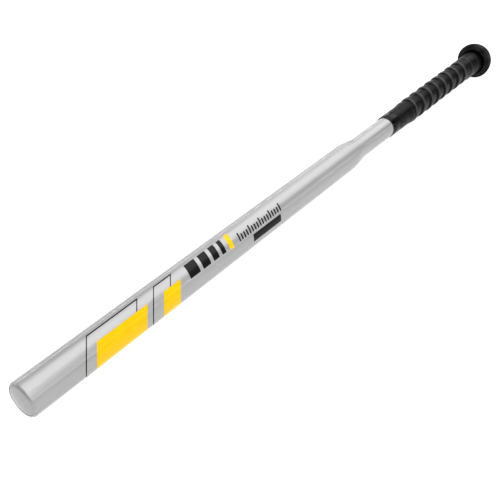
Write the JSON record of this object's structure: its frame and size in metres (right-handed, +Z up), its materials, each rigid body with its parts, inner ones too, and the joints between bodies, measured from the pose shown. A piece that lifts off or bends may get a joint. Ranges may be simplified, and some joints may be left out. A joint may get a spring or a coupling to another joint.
{
  "type": "swing trainer stick",
  "caption": "Slim bat-shaped practice stick: swaged metal tube with a closed barrel end, wrapped cushioned handle and round rubber knob, for hitting small practice balls.",
  "frame": {"origin": "centre of the knob's flat end face, on the stick's axis", "axes": "+X along the stick's axis and out of the knob's end face, so the barrel runs towards -X; +Z up as the stick lies, with the printed side facing up and towards -Y"},
  "size_m": [0.8128, 0.0476, 0.0476],
  "materials": {
    "barrel_silver": "satin silver lacquer under clear coat",
    "end_cap_silver": "silver lacquered moulding",
    "damping_foam": "closed-cell foam",
    "grip_wrap_black": "cushioned synthetic leather, fine grain",
    "finishing_tape_black": "glossy vinyl tape",
    "knob_rubber": "matte moulded rubber, spark-eroded texture",
    "handle_plug_nylon": "natural nylon",
    "zinc_steel": "zinc plated",
    "cover_plastic": "satin moulded plastic",
    "graphic_yellow": "screen-printed ink",
    "graphic_black": "screen-printed ink"
  },
  "bodies": {
    "root": {"barrel_tube": "barrel_silver", "barrel_end_cap": "end_cap_silver", "damping_plug": "damping_foam", "grip_wrap": "grip_wrap_black", "finishing_tape": "finishing_tape_black", "knob": "knob_rubber", "handle_plug": "handle_plug_nylon", "knob_washer": "zinc_steel", "knob_screw": "zinc_steel", "knob_end_cover": "cover_plastic"}
  },
  "joints": []
}
